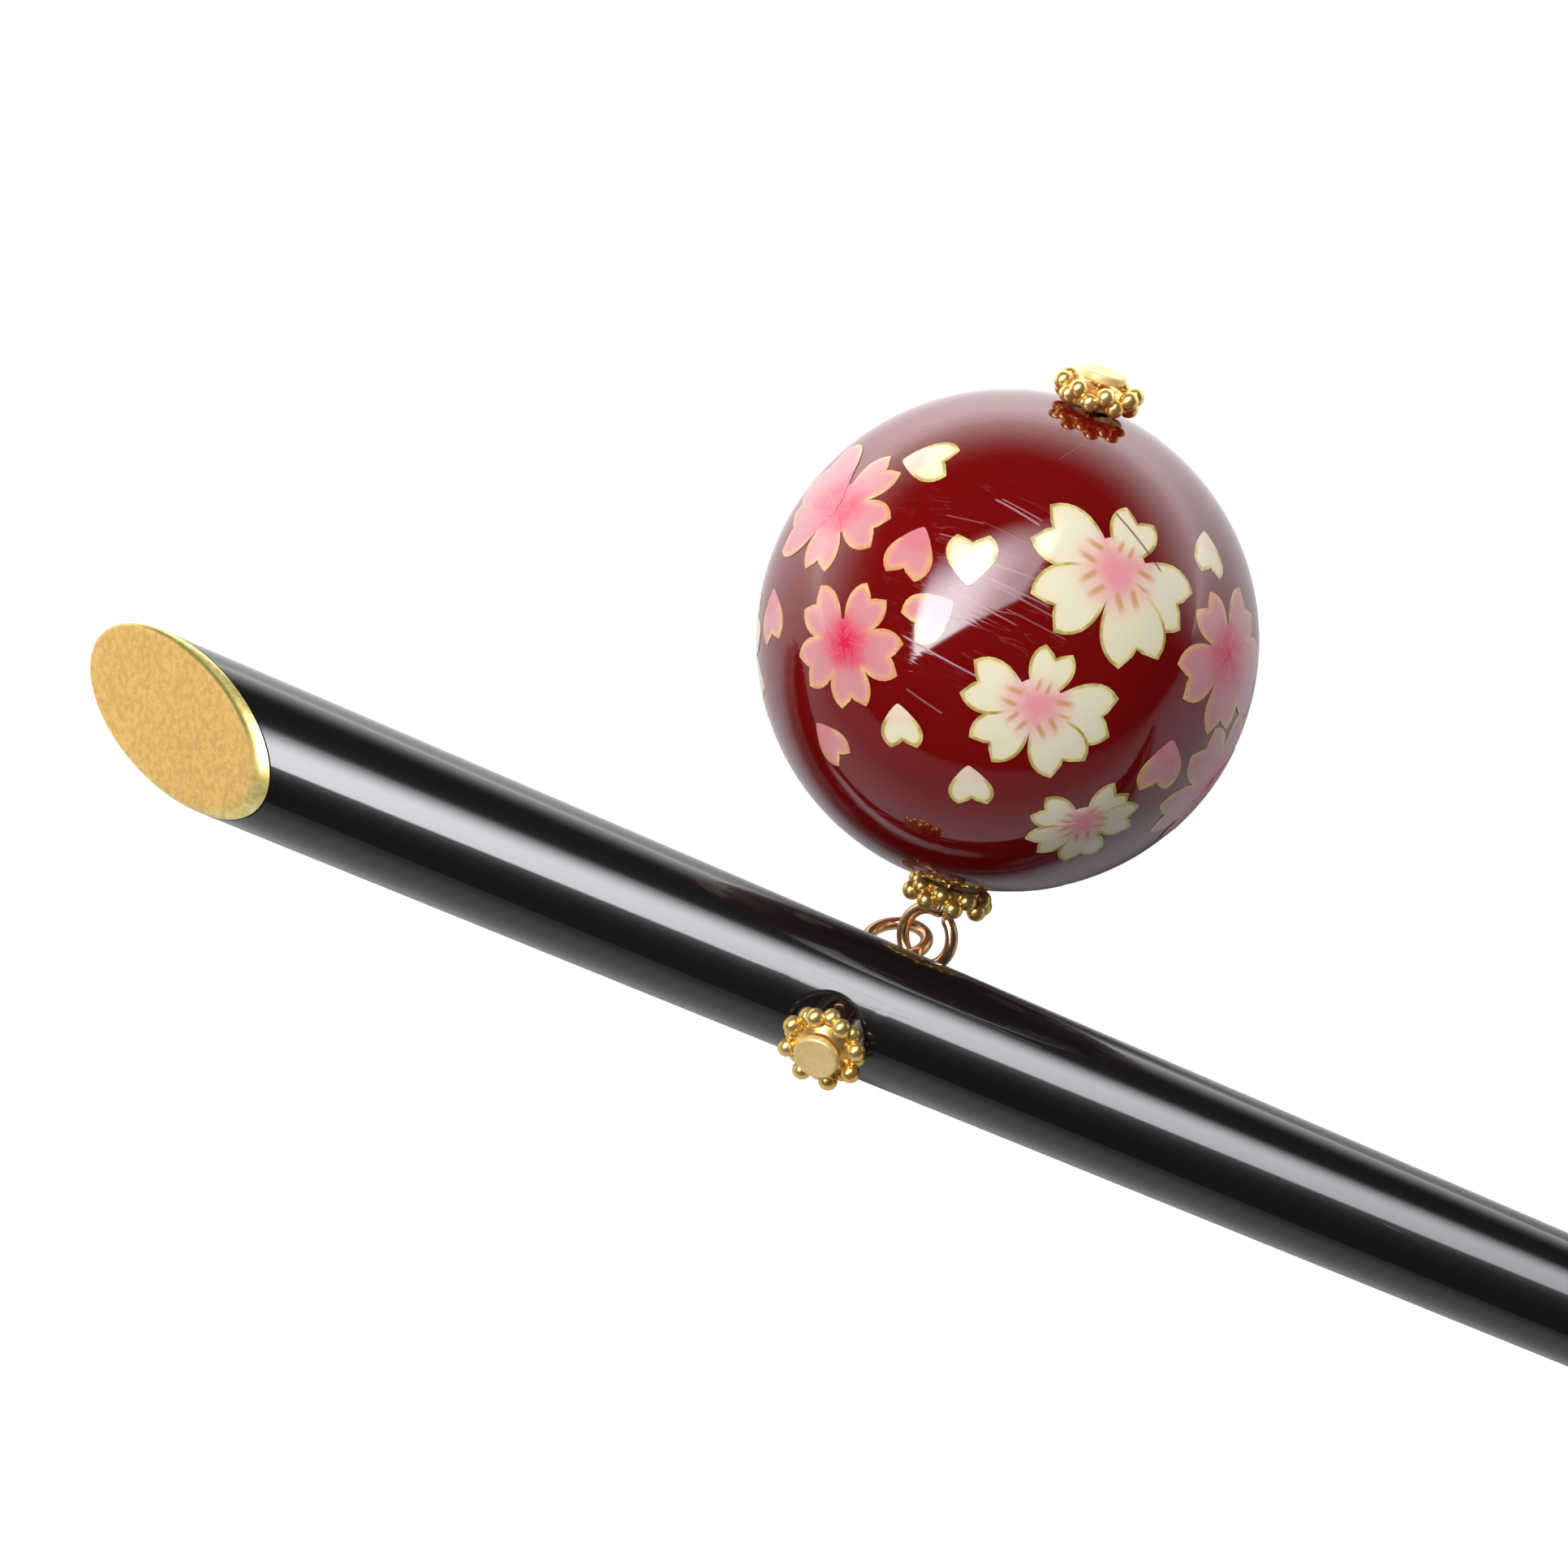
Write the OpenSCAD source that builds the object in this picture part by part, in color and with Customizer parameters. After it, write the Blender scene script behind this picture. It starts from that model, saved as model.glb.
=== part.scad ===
// Lacquered hair stick with a printed ball drop, lying on a flat surface.
// +X runs from the slanted head to the tip, +Y to the side where the ball lies, +Z up.
// The origin is the bottom centre of the whole object, on the surface that it lies on.

/* [Stick] */
// Length from the sharp end of the head to the tip
stick_len = 160; // [120:1:200]
// Diameter that the taper has at the head end
head_d = 7; // [6:0.1:9]
// Diameter at the rounded tip
tip_d = 3.3; // [2.4:0.1:4.5]
// Angle between the slanted cut and the stick's axis
slant_angle = 32.1; // [25:0.1:50]
// Roll of the long side of the cut below level, on the ball's side
slant_roll = 40.5; // [20:0.5:60]
// Thickness of the gilded layer on the cut
gold_t = 0.4; // [0.3:0.05:0.8]

/* [Cross hole] */
// Distance of the hole from the sharp end of the head
hole_from_head = 38.7; // [30:0.1:60]
// Diameter of the hole
hole_d = 3.3; // [2.4:0.1:3.6]
// Roll of the hole below level, on the ball's side
hole_roll = 29; // [20:0.5:32]
// Roll of the pin, which leans a little in its loose hole
pin_roll = 25.4; // [15:0.1:26]
// Play that the pin has taken up in the hole, towards the tip
pin_shift = 0.2; // [0:0.05:0.4]
// Play that the pin has taken up in the hole, upwards
pin_lift = 0.1; // [0:0.02:0.2]

/* [Flower spacers] */
// Granules in each of the two layers
granules = 8; // [6:1:10]
// Diameter of a granule
granule_d = 0.82; // [0.7:0.01:0.95]
// Diameter of the ring on which the granules sit
granule_ring_d = 3.3; // [3:0.05:4]
// Height between the two layers
layer_step = 0.42; // [0.35:0.01:0.5]
// Diameter of the plain hub inside the granules
hub_d = 2.9; // [2.6:0.05:3.4]
// Diameter of the hole for the pin
spacer_hole_d = 0.9; // [0.8:0.05:1.2]

/* [Pins] */
// Diameter of the wire
wire_d = 0.56; // [0.45:0.01:0.65]
// Diameter of the flat head
pin_head_d = 2.05; // [1.6:0.05:2.4]
// Thickness of the flat head
pin_head_t = 0.4; // [0.2:0.02:0.5]
// Radius of the stick pin's eye, to the middle of the wire
stick_eye_r = 1.33; // [1.25:0.01:1.4]
// Radius of the bead pin's eye, to the middle of the wire
bead_eye_r = 1.29; // [1.2:0.01:1.4]
// Turn of the stick pin's eye about its pin, its tip side up
stick_eye_turn = 14; // [10:0.5:20]
// Turn of the bead pin's eye about its pin
bead_eye_turn = 22; // [15:1:30]
// Distance of the bead pin's eye from the line of its pin
bead_eye_shift = 0.42; // [0.2:0.01:0.6]
// Gap left where the wire of an eye closes on itself
eye_mouth = 0.12; // [0.05:0.01:0.2]
// Bare wire between the stick and the stick pin's eye
stick_eye_neck = 0.33; // [0.2:0.01:0.4]
// Bare wire between the lower flower and the bead pin's eye
bead_eye_neck = 0.04; // [0.02:0.01:0.1]

/* [Link of the two eyes] */
// Slack of the link, measured along the stick pin's eye
link_slack = 0.6; // [0.5:0.01:0.7]
// Distance of the bead eye's middle from the plane of the stick pin's eye
link_lift = 0.5; // [0.45:0.01:0.55]

/* [Bead] */
// Diameter of the ball
bead_d = 22; // [18:0.5:24]
// Diameter of its drilled hole
bead_hole_d = 1.6; // [1.2:0.1:2]
// Distance of the drilled hole from the ball's middle
bead_hole_shift = 0.7; // [0:0.05:0.9]
// Swing of the drop towards the head, seen from above
drop_swing = 3.6; // [-5:0.1:10]

/* [Clearances] */
// Gap between pieces that sit on each other
seat_gap = 0.02; // [0.01:0.01:0.05]

/* [Hidden] */
smooth = 96;
fine = 32;
past = 2;
head_r = head_d / 2;
tip_r = tip_d / 2;
bead_r = bead_d / 2;
granule_r = granule_d / 2;
wire_r = wire_d / 2;
spacer_t = layer_step + granule_d;
hub_inset = granule_r / 4;

// The lying stick slopes by its half taper, so its lower side touches the surface all along
slope = (head_r - tip_r) / (stick_len - tip_r);
lie = atan(slope);
hole_stick_r = taper_r(hole_from_head);
face_at = head_r / tan(slant_angle);

// The taper is in two lengths that meet between the cut and the hole, because one long face meshes open
joint_at = face_at + hole_from_head / 2;

// Distances along the stick pin, from the stick's axis
flower_seat = hole_stick_r + seat_gap;
pin_head_seat = flower_seat + spacer_t + seat_gap;
stick_eye_at = hole_stick_r + stick_eye_neck + wire_r + stick_eye_r;

// Distances along the bead pin, from the level of the ball's middle
bead_seat = bead_r + seat_gap;
bead_pin_head_seat = bead_seat + spacer_t + seat_gap;
bead_eye_at = bead_seat + spacer_t + bead_eye_neck + wire_r + bead_eye_r;

// Radius of the taper at a distance from the head end
function taper_r(x) = head_r - slope * x;

// A direction and a point of the stick's own frame, whose origin is the head end, as they lie
function lie_dir(v) = [v.x * cos(lie) + v.z * sin(lie), v.y, v.z * cos(lie) - v.x * sin(lie)];
function lie_at(p) = lie_dir(p) + [-stick_len / 2, 0, head_r * cos(lie)];

// Directions of the stick pin's eye: out of the stick, across the eye, and off its plane
out_dir = lie_dir([0, cos(pin_roll), -sin(pin_roll)]);
rise_dir = lie_dir([0, sin(pin_roll), cos(pin_roll)]);
across_dir = lie_dir([1, 0, 0]) * cos(stick_eye_turn) + rise_dir * sin(stick_eye_turn);
off_dir = cross(across_dir, out_dir);

// Middles of the two eyes
pin_at = lie_at([hole_from_head + pin_shift, 0, 0]) + rise_dir * pin_lift;
stick_eye = pin_at + out_dir * stick_eye_at;
link_reach = stick_eye_r + bead_eye_r - wire_d - link_slack;
bead_eye = stick_eye + across_dir * link_reach + off_dir * link_lift;

// The drop's pin rises from its eye to where the ball's middle is its radius above the surface
eye_dip = bead_eye_shift * sin(bead_eye_turn);
drop_rise = asin((bead_r - bead_eye.z) / norm([bead_eye_at, eye_dip])) - atan(eye_dip / bead_eye_at);
drop_dir = [-sin(drop_swing) * cos(drop_rise), cos(drop_swing) * cos(drop_rise), sin(drop_rise)];
level_dir = [cos(drop_swing), sin(drop_swing), 0];
eye_dir = level_dir * cos(bead_eye_turn) - cross(drop_dir, level_dir) * sin(bead_eye_turn);
drop_at = bead_eye + eye_dir * bead_eye_shift + drop_dir * bead_eye_at;

// Reach of the whole object to both sides, which sets the middle of the origin
ball_side = drop_at.y - bead_hole_shift * sin(drop_swing) + bead_r;
front_side = (pin_head_seat + pin_head_t) * cos(pin_roll) + pin_head_d / 2 * sin(pin_roll);
mid_y = (ball_side - front_side) / 2;

module lying() {
    translate([-stick_len / 2, -mid_y, head_r * cos(lie)]) rotate([0, lie, 0]) children();
}

// The stick pin's own frame: Z out of the stick at the front, X along the stick
module on_stick_pin() {
    lying() translate([hole_from_head + pin_shift, 0, 0]) rotate([90 - pin_roll, 0, 0])
        translate([0, pin_lift, 0]) children();
}

// The drop's own frame: Z up along its pin, origin level with the ball's middle
module on_drop() {
    translate(drop_at - [0, mid_y, 0]) rotate([0, 0, drop_swing]) rotate([drop_rise - 90, 0, 0]) children();
}

// Everything on the tip side of a plane parallel to the cut, set in by some depth
module behind_cut(depth) {
    big = 2 * stick_len;
    rotate([-slant_roll, 0, 0]) translate([face_at, 0, 0]) rotate([0, 0, -slant_angle])
        translate([-big / 2, depth, -big / 2]) cube(big);
}

module taper(from, to) {
    translate([from, 0, 0]) rotate([0, 90, 0])
        cylinder(h = to - from, r1 = taper_r(from), r2 = taper_r(to), $fn = smooth);
}

module stick_form() {
    taper(0, joint_at);
    taper(joint_at, stick_len - tip_r);
    translate([stick_len - tip_r, 0, 0]) rotate([0, 90, 0]) sphere(r = tip_r, $fn = smooth);
}

module flower_spacer() {
    turn = 360 / granules;
    difference() {
        union() {
            translate([0, 0, hub_inset]) cylinder(h = spacer_t - 2 * hub_inset, d = hub_d, $fn = smooth);
            for (layer = [0, 1], i = [0 : granules - 1])
                rotate([0, 0, (i + layer / 2) * turn])
                    translate([granule_ring_d / 2, 0, granule_r + layer * layer_step])
                        sphere(r = granule_r, $fn = fine);
        }
        translate([0, 0, -past]) cylinder(h = spacer_t + 2 * past, d = spacer_hole_d, $fn = smooth);
    }
}

// Flat-headed pin along Z, with the head's seat at head_at and the eye's middle at -eye_at
module headed_pin(head_at, eye_at, eye_r, eye_turn, eye_shift) {
    eye_top = acos(eye_shift / eye_r);
    mouth_angle = (wire_r + eye_mouth) / eye_r * 180 / PI;
    translate([0, 0, head_at]) cylinder(h = pin_head_t, d = pin_head_d, $fn = smooth);
    translate([0, 0, -eye_at]) {
        wire_end = eye_r * sin(eye_top);
        translate([0, 0, wire_end])
            cylinder(h = head_at + eye_at - wire_end + pin_head_t / 2, r = wire_r, $fn = smooth);
        translate([0, 0, wire_end]) sphere(r = wire_r, $fn = smooth);
        rotate([0, 0, eye_turn]) translate([-eye_shift, 0, 0]) rotate([90, 0, 0]) rotate([0, 0, eye_top])
            rotate_extrude(angle = 360 - mouth_angle, $fn = smooth)
                translate([eye_r, 0]) circle(r = wire_r, $fn = smooth);
    }
}

module stick() {
    color([0.03, 0.03, 0.035]) lying() difference() {
        intersection() {
            stick_form();
            behind_cut(gold_t + seat_gap);
        }
        translate([hole_from_head, 0, 0]) rotate([-90 - hole_roll, 0, 0])
            cylinder(h = head_d + past, d = hole_d, center = true, $fn = smooth);
    }
}

module gold_end_face() {
    color([0.88, 0.72, 0.4]) lying() difference() {
        intersection() {
            stick_form();
            behind_cut(0);
        }
        behind_cut(gold_t);
    }
}

module front_flower_spacer() {
    color([0.95, 0.75, 0.3]) on_stick_pin() translate([0, 0, flower_seat]) flower_spacer();
}

module stick_pin() {
    color([0.85, 0.68, 0.4]) on_stick_pin()
        headed_pin(pin_head_seat, stick_eye_at, stick_eye_r, stick_eye_turn, 0);
}

module bead() {
    color([0.42, 0.02, 0.04]) on_drop() difference() {
        translate([-bead_hole_shift, 0, 0]) sphere(r = bead_r, $fn = smooth);
        cylinder(h = bead_d + past, d = bead_hole_d, center = true, $fn = smooth);
    }
}

module bottom_flower_spacer() {
    color([0.95, 0.75, 0.3]) on_drop() mirror([0, 0, 1]) translate([0, 0, bead_seat]) flower_spacer();
}

module top_flower_spacer() {
    color([0.95, 0.75, 0.3]) on_drop() translate([0, 0, bead_seat]) flower_spacer();
}

module bead_pin() {
    color([0.85, 0.6, 0.4]) on_drop()
        headed_pin(bead_pin_head_seat, bead_eye_at, bead_eye_r, -bead_eye_turn, bead_eye_shift);
}

stick();
gold_end_face();
front_flower_spacer();
stick_pin();
bead();
bottom_flower_spacer();
top_flower_spacer();
bead_pin();
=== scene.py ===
# Lacquered hair stick with a printed ball drop, lying on a white table.
# Lengths are in millimetres until a piece is made. Meshes, materials and light are in metres.
import random
from math import acos, asin, atan, atan2, cos, degrees, hypot, pi, radians, sin, sqrt, tan

import bmesh
import bpy
from mathutils import Matrix, Vector


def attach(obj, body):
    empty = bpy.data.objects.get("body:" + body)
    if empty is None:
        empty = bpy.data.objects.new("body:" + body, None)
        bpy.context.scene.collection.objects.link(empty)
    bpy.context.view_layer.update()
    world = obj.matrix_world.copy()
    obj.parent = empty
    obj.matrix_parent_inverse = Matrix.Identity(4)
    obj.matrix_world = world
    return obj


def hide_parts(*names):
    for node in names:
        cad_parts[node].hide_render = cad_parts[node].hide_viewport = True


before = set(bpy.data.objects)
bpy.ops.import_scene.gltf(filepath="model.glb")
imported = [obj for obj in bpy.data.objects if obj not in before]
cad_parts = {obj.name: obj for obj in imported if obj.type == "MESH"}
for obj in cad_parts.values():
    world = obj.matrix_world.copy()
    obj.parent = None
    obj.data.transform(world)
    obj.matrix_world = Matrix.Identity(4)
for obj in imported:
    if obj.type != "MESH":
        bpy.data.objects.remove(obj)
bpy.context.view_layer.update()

MM = 0.001

# Sizes of the part's source, with its diameters as radii
STICK_LEN, HEAD_R, TIP_R = 160.0, 3.5, 1.65
SLANT_ANGLE, SLANT_ROLL, GOLD_T = radians(32.1), radians(40.5), 0.4
HOLE_AT, HOLE_R, HOLE_ROLL = 38.7, 1.65, radians(29)
PIN_ROLL, PIN_SHIFT, PIN_LIFT = radians(25.4), 0.2, 0.1
GRANULES, GRANULE_R, GRANULE_RING_R, LAYER_STEP = 8, 0.41, 1.65, 0.42
HUB_R, SPACER_HOLE_R = 1.45, 0.45
WIRE_R, PIN_HEAD_R, PIN_HEAD_T = 0.28, 1.025, 0.4
STICK_EYE_R, BEAD_EYE_R = 1.33, 1.29
STICK_EYE_TURN, BEAD_EYE_TURN, BEAD_EYE_SHIFT = radians(14), radians(22), 0.42
EYE_MOUTH, STICK_EYE_NECK, BEAD_EYE_NECK = 0.12, 0.33, 0.04
LINK_SLACK, LINK_LIFT = 0.6, 0.5
BEAD_R, BEAD_HOLE_R, BEAD_HOLE_SHIFT, DROP_SWING = 11.0, 0.8, 0.7, radians(3.6)
SEAT_GAP = 0.02

# Sizes that only the looks need: the stick's edges, the gilded rim, ball and print, spacers and pins
EDGE_IN, EDGE_BACK, UNDER_GOLD = 0.03, 0.05, 0.02
HOLE_RIM, HOLE_RIM_DEPTH = 0.27, 0.34
GOLD_RIM = 0.42
BALL_R = BEAD_R - 0.045
PRINT_R = BALL_R + 0.008
SCRATCH_R = BEAD_R - 0.01
PETAL_LIFT, HEART_LIFT, LAYER_LIFT, PRINT_DEPTH = 0.008, 0.004, 0.004, 0.01
SINGLE_WIDTH = 1.22
GRANULE_EXTRA, LOWER_SET_IN = 0.025, 0.14
LOWER_ROUND, UPPER_ROUND, WIRE_IN_HEAD = 0.09, 0.13, 0.06

# Places that follow from the sizes
SLOPE = (HEAD_R - TIP_R) / (STICK_LEN - TIP_R)
LIE = atan(SLOPE)
HOLE_STICK_R = HEAD_R - SLOPE * HOLE_AT
FACE_AT = HEAD_R / tan(SLANT_ANGLE)
SPACER_T = LAYER_STEP + 2 * GRANULE_R
FLOWER_SEAT = HOLE_STICK_R + SEAT_GAP
PIN_HEAD_SEAT = FLOWER_SEAT + SPACER_T + SEAT_GAP
STICK_EYE_AT = HOLE_STICK_R + STICK_EYE_NECK + WIRE_R + STICK_EYE_R
BEAD_SEAT = BEAD_R + SEAT_GAP
BEAD_PIN_HEAD_SEAT = BEAD_SEAT + SPACER_T + SEAT_GAP
BEAD_EYE_AT = BEAD_SEAT + SPACER_T + BEAD_EYE_NECK + WIRE_R + BEAD_EYE_R

LYING = Matrix.Rotation(LIE, 4, "Y")
lie_at = Matrix.Translation((-STICK_LEN / 2, 0, HEAD_R * cos(LIE))) @ LYING
out_dir = LYING.to_3x3() @ Vector((0, cos(PIN_ROLL), -sin(PIN_ROLL)))
rise_dir = LYING.to_3x3() @ Vector((0, sin(PIN_ROLL), cos(PIN_ROLL)))
along_dir = LYING.to_3x3() @ Vector((1, 0, 0))
across_dir = along_dir * cos(STICK_EYE_TURN) + rise_dir * sin(STICK_EYE_TURN)
off_dir = across_dir.cross(out_dir)
pin_at = lie_at @ Vector((HOLE_AT + PIN_SHIFT, 0, 0)) + rise_dir * PIN_LIFT
stick_eye = pin_at + out_dir * STICK_EYE_AT
link_reach = STICK_EYE_R + BEAD_EYE_R - 2 * WIRE_R - LINK_SLACK
bead_eye = stick_eye + across_dir * link_reach + off_dir * LINK_LIFT
eye_dip = BEAD_EYE_SHIFT * sin(BEAD_EYE_TURN)
drop_rise = (asin((BEAD_R - bead_eye.z) / hypot(BEAD_EYE_AT, eye_dip))
             - atan(eye_dip / BEAD_EYE_AT))
drop_dir = Vector((-sin(DROP_SWING) * cos(drop_rise), cos(DROP_SWING) * cos(drop_rise),
                   sin(drop_rise)))
level_dir = Vector((cos(DROP_SWING), sin(DROP_SWING), 0))
eye_dir = level_dir * cos(BEAD_EYE_TURN) - drop_dir.cross(level_dir) * sin(BEAD_EYE_TURN)
drop_at = bead_eye + eye_dir * BEAD_EYE_SHIFT + drop_dir * BEAD_EYE_AT
ball_side = drop_at.y - BEAD_HOLE_SHIFT * sin(DROP_SWING) + BEAD_R
front_side = (PIN_HEAD_SEAT + PIN_HEAD_T) * cos(PIN_ROLL) + PIN_HEAD_R * sin(PIN_ROLL)
MIDDLE = Matrix.Translation((0, -(ball_side - front_side) / 2, 0))

STICK_FRAME = MIDDLE @ lie_at
STICK_PIN_FRAME = (STICK_FRAME @ Matrix.Translation((HOLE_AT + PIN_SHIFT, 0, 0))
                   @ Matrix.Rotation(pi / 2 - PIN_ROLL, 4, "X") @ Matrix.Translation((0, PIN_LIFT, 0)))
DROP_FRAME = (MIDDLE @ Matrix.Translation(drop_at) @ Matrix.Rotation(DROP_SWING, 4, "Z")
              @ Matrix.Rotation(drop_rise - pi / 2, 4, "X"))
BEAD_MIDDLE = DROP_FRAME @ Vector((-BEAD_HOLE_SHIFT, 0, 0))


def new_object(name, data):
    ob = bpy.data.objects.new(name, data)
    bpy.context.scene.collection.objects.link(ob)
    return ob


# Camera, above the table at the photo's angle
def camera_axes(azimuth, elevation):
    a, e = radians(azimuth), radians(elevation)
    back = Vector((sin(a) * cos(e), -cos(a) * cos(e), sin(e)))
    right = Vector((cos(a), sin(a), 0))
    return right, back.cross(right), back


CAM_RIGHT, CAM_UP, CAM_BACK = camera_axes(24.82, 61.5)
CAM_DISTANCE, VIEW_WIDTH = 400.0, 68.41
LOOK_LEFT, LOOK_UP = 2.80, 9.418
near_hole = STICK_FRAME @ Vector((HOLE_AT - 0.1, 0, 0))
look_at = near_hole - LOOK_LEFT * CAM_RIGHT + LOOK_UP * CAM_UP


def place_camera():
    data = bpy.data.cameras.new("camera")
    data.lens = data.sensor_width * CAM_DISTANCE / VIEW_WIDTH
    data.clip_start, data.clip_end = 0.01, 20
    cam = new_object("camera", data)
    turn = Matrix((CAM_RIGHT, CAM_UP, CAM_BACK)).transposed().to_4x4()
    cam.matrix_world = Matrix.Translation((look_at + CAM_BACK * CAM_DISTANCE) * MM) @ turn
    bpy.context.scene.camera = cam


place_camera()


# Mesh helpers
def new_mesh(name, verts, faces, vectors, floats):
    """A smooth mesh with values at its points, which materials and node trees read by name."""
    mesh = bpy.data.meshes.new(name)
    mesh.from_pydata(verts, [], faces)
    for key, values in vectors.items():
        flat = [c for v in values for c in v]
        mesh.attributes.new(key, "FLOAT_VECTOR", "POINT").data.foreach_set("vector", flat)
    for key, values in floats.items():
        mesh.attributes.new(key, "FLOAT", "POINT").data.foreach_set("value", values)
    mesh.shade_smooth()
    return mesh


def new_piece(name, verts, faces, material, to=Matrix.Identity(4), **floats):
    """A piece from points in millimetres, placed by a matrix, with its place kept in its mesh."""
    mesh = new_mesh(name, [(to @ Vector(v)) * MM for v in verts], faces, {}, floats)
    mesh.validate()
    mesh.materials.append(material)
    return new_object(name, mesh)


def face_outwards(ob):
    bm = bmesh.new()
    bm.from_mesh(ob.data)
    bmesh.ops.recalc_face_normals(bm, faces=bm.faces)
    bm.to_mesh(ob.data)
    bm.free()


def finish_piece(ob, node, sharp=None, outwards=True):
    """Turns a piece's faces outwards, marks its sharp edges, hangs it under the root body and hides the CAD
    part of its node.
    """
    if outwards:
        face_outwards(ob)
    if sharp is not None:
        ob.data.set_sharp_from_angle(angle=radians(sharp))
    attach(ob, "root")
    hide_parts(node)


def ring_numbers(rings, count, first=0):
    """Numbers of the points in so many rings of equal counts."""
    return [list(range(first + k * count, first + (k + 1) * count)) for k in range(rings)]


def ring_faces(rings, count):
    """Quads between neighbouring rings of point numbers."""
    return [(a[i], a[(i + 1) % count], b[(i + 1) % count], b[i])
            for a, b in zip(rings, rings[1:]) for i in range(count)]


def fan(middle, ring, over=False):
    """Triangles from a middle point to a ring of point numbers, or the same turned over."""
    pairs = zip(ring, ring[1:] + ring[:1])
    return [(middle, b, a) if over else (middle, a, b) for a, b in pairs]


def circle(r, z, count):
    turns = [2 * pi * i / count for i in range(count)]
    return [(r * cos(a), r * sin(a), z) for a in turns]


def turned(profile, count):
    """Verts and faces of a closed body turned round Z from (radius, height) points between two poles."""
    verts, rings = [], []
    for r, z in profile:
        points = circle(r, z, count) if r > 1e-9 else [(0, 0, z)]
        rings.append([len(verts) + i % len(points) for i in range(count)])
        verts += points
    faces = [tuple(dict.fromkeys(f)) for f in ring_faces(rings, count)]
    return verts, [f for f in faces if len(f) > 2]


def turned_ring(profile, count):
    """The same for a closed profile round a hole, so that its last point joins its first."""
    verts = [p for r, z in profile for p in circle(r, z, count)]
    rings = ring_numbers(len(profile), count)
    return verts, ring_faces(rings + rings[:1], count)


def arc(cx, cy, r, start, end, steps):
    """Points on an arc between two angles in degrees."""
    angles = [radians(start + (end - start) * k / steps) for k in range(steps + 1)]
    return [(cx + r * cos(a), cy + r * sin(a)) for a in angles]


def bend(a, b, c, t):
    """A place on the smooth bend that leaves a towards b and ends in c."""
    return a * (1 - t) ** 2 + b * 2 * t * (1 - t) + c * t * t


def swept_wire(path, radius, sides=24, cap_steps=5):
    """Verts and faces of a round wire along a path, with rounded ends."""
    n = len(path)
    ways = [(path[min(i + 1, n - 1)] - path[max(i - 1, 0)]).normalized() for i in range(n)]
    caps = [pi / 2 * k / cap_steps for k in range(1, cap_steps)]
    stations = [(path[0] - ways[0] * radius * cos(t), ways[0], radius * sin(t)) for t in caps]
    stations += [(p, w, radius) for p, w in zip(path, ways)]
    stations += [(path[-1] + ways[-1] * radius * cos(t), ways[-1], radius * sin(t))
                 for t in reversed(caps)]
    turns = [2 * pi * k / sides for k in range(sides)]
    side = ways[0].orthogonal().normalized()
    verts = [path[0] - ways[0] * radius]
    for middle, way, r in stations:
        side = (side - way * side.dot(way)).normalized()
        other = way.cross(side)
        verts += [middle + (side * cos(a) + other * sin(a)) * r for a in turns]
    verts.append(path[-1] + ways[-1] * radius)
    rings = ring_numbers(len(stations), sides, 1)
    faces = ring_faces(rings, sides) + fan(0, rings[0], True) + fan(len(verts) - 1, rings[-1])
    return verts, faces


def joined(*parts):
    verts, faces = [], []
    for v, f in parts:
        faces += [tuple(i + len(verts) for i in face) for face in f]
        verts += v
    return verts, faces


# Shader helpers
def put(tree, socket, value):
    if isinstance(value, bpy.types.NodeSocket):
        tree.links.new(value, socket)
    else:
        socket.default_value = value


def add(tree, kind, inputs=None, **settings):
    """Adds a node with its settings, and sets or links its inputs by name or number."""
    n = tree.nodes.new(kind)
    for key, value in settings.items():
        setattr(n, key, value)
    for key, value in (inputs or {}).items():
        put(tree, n.inputs[key], value)
    return n


def calc(tree, how, *values):
    return add(tree, "ShaderNodeMath", dict(enumerate(values)), operation=how).outputs[0]


def times(tree, a, b):
    return calc(tree, "MULTIPLY", a, b)


def scaled(tree, value, by, plus):
    return calc(tree, "MULTIPLY_ADD", value, by, plus)


def vec(tree, how, *values, out=0):
    return add(tree, "ShaderNodeVectorMath", dict(enumerate(values)), operation=how).outputs[out]


def mixed(tree, factor, a, b):
    return add(tree, "ShaderNodeMix", {0: factor, 6: a, 7: b}, data_type="RGBA").outputs[2]


def ramp(tree, value, low, high, at_low=0.0, at_high=1.0):
    return add(tree, "ShaderNodeMapRange", {"Value": value, "From Min": low, "From Max": high,
                                            "To Min": at_low, "To Max": at_high},
               interpolation_type="SMOOTHSTEP").outputs[0]


def fall(tree, value, low, high):
    return ramp(tree, value, low, high, 1.0, 0.0)


def noise(tree, vector, scale, detail=2.0, rough=0.5):
    return add(tree, "ShaderNodeTexNoise", {"Vector": vector, "Scale": scale, "Detail": detail,
                                            "Roughness": rough}).outputs[0]


def attribute(tree, name, out="Fac"):
    return add(tree, "ShaderNodeAttribute", attribute_name=name).outputs[out]


def separated(tree, vector):
    return add(tree, "ShaderNodeSeparateXYZ", {0: vector}).outputs


def bump(tree, height, distance, strength=1.0, **more):
    inputs = {"Height": height, "Distance": distance, "Strength": strength, **more}
    return add(tree, "ShaderNodeBump", inputs).outputs[0]


def find_node(tree, kind):
    return next(n for n in tree.nodes if n.type == kind)


def new_group(name, inputs, outputs, kind="ShaderNodeTree"):
    """A node group whose inputs and outputs are given as labels with their kinds of socket."""
    tree = bpy.data.node_groups.new(name, kind)
    for way, sockets in (("INPUT", inputs), ("OUTPUT", outputs)):
        for label, socket in sockets.items():
            tree.interface.new_socket(name=label, in_out=way, socket_type="NodeSocket" + socket)
    return tree, tree.nodes.new("NodeGroupInput").outputs, tree.nodes.new("NodeGroupOutput").inputs


def use(tree, group, inputs):
    return add(tree, "ShaderNodeGroup", inputs, node_tree=group).outputs


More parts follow.
